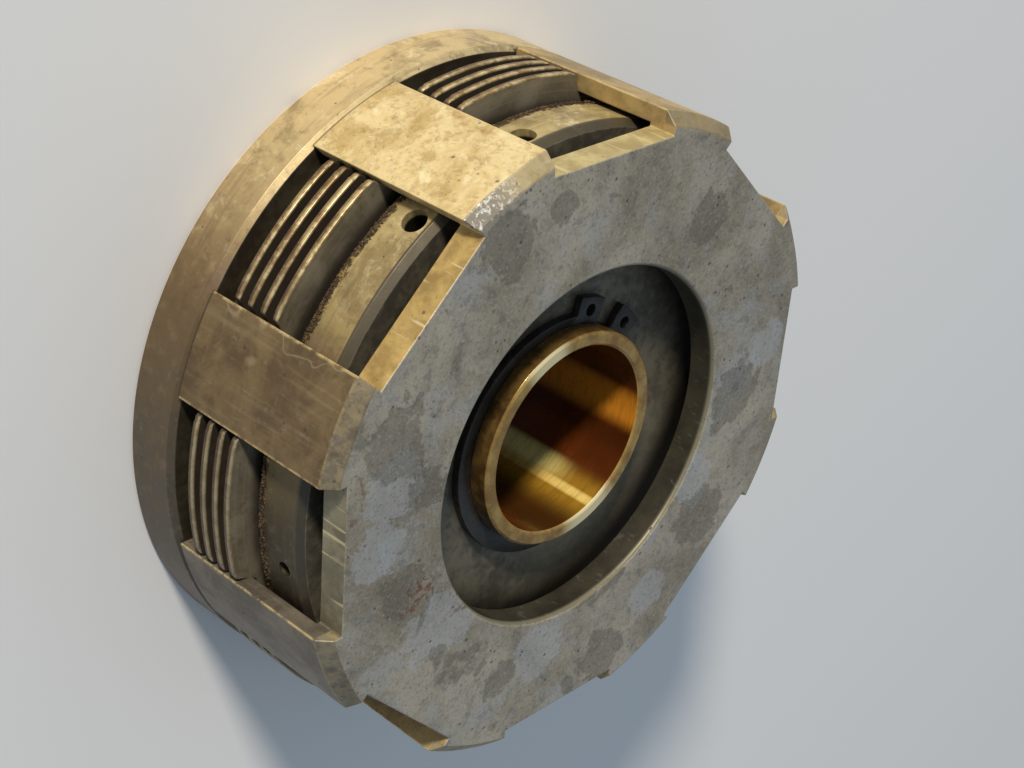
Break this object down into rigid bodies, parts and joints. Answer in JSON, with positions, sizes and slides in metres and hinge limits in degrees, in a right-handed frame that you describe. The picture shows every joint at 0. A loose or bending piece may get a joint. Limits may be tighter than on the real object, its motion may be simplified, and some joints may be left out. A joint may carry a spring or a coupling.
{
  "type": "electromagnetic brake",
  "caption": "Multi-disc electromagnetic brake: slotted cage with thin lugged discs between a magnet ring and an armature, on a bronze sleeve.",
  "frame": {"origin": "on the shaft axis, in the rear face of the magnet body", "axes": "+Z along the shaft axis towards the front plate, +X through the middle of a window"},
  "size_m": [0.136, 0.136, 0.0546],
  "materials": {
    "cage_steel": "worn, partly yellow-passivated",
    "yellow_zinc": "yellow chromate over steel, mottled",
    "disc_steel": "hardened and ground, worn at the lugs",
    "inner_disc_steel": "dark oiled steel",
    "bronze": "turned and run in",
    "ring_steel": "black oxide",
    "hub_steel": "hobbed, oiled",
    "spring_steel": "patented wire",
    "bobbin_plastic": "moulded",
    "copper": "enamelled wire",
    "resin": "cast resin",
    "grommet_rubber": "moulded",
    "washer_bronze": "flat, oiled"
  },
  "bodies": {
    "stator": {"magnet_body": "yellow_zinc", "cage": "cage_steel", "coil_bobbin": "bobbin_plastic", "coil_winding": "copper", "coil_potting": "resin", "lead_grommet": "grommet_rubber", "thrust_washer": "washer_bronze"},
    "rotor": {"splined_hub": "hub_steel", "bearing_sleeve": "bronze", "front_retaining_ring": "ring_steel", "rear_retaining_ring": "ring_steel", "release_spring": "spring_steel"},
    "armature": {"armature": "yellow_zinc"},
    "inner_disc_1": {"inner_disc_1": "inner_disc_steel"},
    "outer_disc_1": {"outer_disc_1": "disc_steel"},
    "inner_disc_2": {"inner_disc_2": "inner_disc_steel"},
    "outer_disc_2": {"outer_disc_2": "disc_steel"},
    "inner_disc_3": {"inner_disc_3": "inner_disc_steel"},
    "outer_disc_3": {"outer_disc_3": "disc_steel"},
    "inner_disc_4": {"inner_disc_4": "inner_disc_steel"},
    "outer_disc_4": {"outer_disc_4": "disc_steel"}
  },
  "joints": [
    {"name": "rotor_spin", "type": "hinge", "parent": "stator", "child": "rotor", "pos_m": [0, 0, 0.02], "axis": [0, 0, 1], "continuous": true},
    {"name": "armature_pull", "type": "slide", "parent": "rotor", "child": "armature", "axis": [0, 0, -1], "range_m": [0, 0.0032], "stiffness_N_per_m": 8000, "springref_m": -0.006, "deforming": ["release_spring"]},
    {"name": "inner_disc_1_slide", "type": "slide", "parent": "rotor", "child": "inner_disc_1", "axis": [0, 0, -1], "range_m": [0, 0.0003798]},
    {"name": "outer_disc_1_slide", "type": "slide", "parent": "stator", "child": "outer_disc_1", "axis": [0, 0, -1], "range_m": [0, 0.0004576]},
    {"name": "inner_disc_2_slide", "type": "slide", "parent": "rotor", "child": "inner_disc_2", "axis": [0, 0, -1], "range_m": [0, 0.0005353]},
    {"name": "outer_disc_2_slide", "type": "slide", "parent": "stator", "child": "outer_disc_2", "axis": [0, 0, -1], "range_m": [0, 0.0006131]},
    {"name": "inner_disc_3_slide", "type": "slide", "parent": "rotor", "child": "inner_disc_3", "axis": [0, 0, -1], "range_m": [0, 0.0006909]},
    {"name": "outer_disc_3_slide", "type": "slide", "parent": "stator", "child": "outer_disc_3", "axis": [0, 0, -1], "range_m": [0, 0.0007687]},
    {"name": "inner_disc_4_slide", "type": "slide", "parent": "rotor", "child": "inner_disc_4", "axis": [0, 0, -1], "range_m": [0, 0.0008464]},
    {"name": "outer_disc_4_slide", "type": "slide", "parent": "stator", "child": "outer_disc_4", "axis": [0, 0, -1], "range_m": [0, 0.0009242]}
  ],
  "couplings": [
    {"joint": "inner_disc_1_slide", "follows": "armature_pull", "ratio": 0.11806},
    {"joint": "outer_disc_1_slide", "follows": "armature_pull", "ratio": 0.14236},
    {"joint": "inner_disc_2_slide", "follows": "armature_pull", "ratio": 0.16667},
    {"joint": "outer_disc_2_slide", "follows": "armature_pull", "ratio": 0.19097},
    {"joint": "inner_disc_3_slide", "follows": "armature_pull", "ratio": 0.21528},
    {"joint": "outer_disc_3_slide", "follows": "armature_pull", "ratio": 0.23958},
    {"joint": "inner_disc_4_slide", "follows": "armature_pull", "ratio": 0.26389},
    {"joint": "outer_disc_4_slide", "follows": "armature_pull", "ratio": 0.28819}
  ]
}
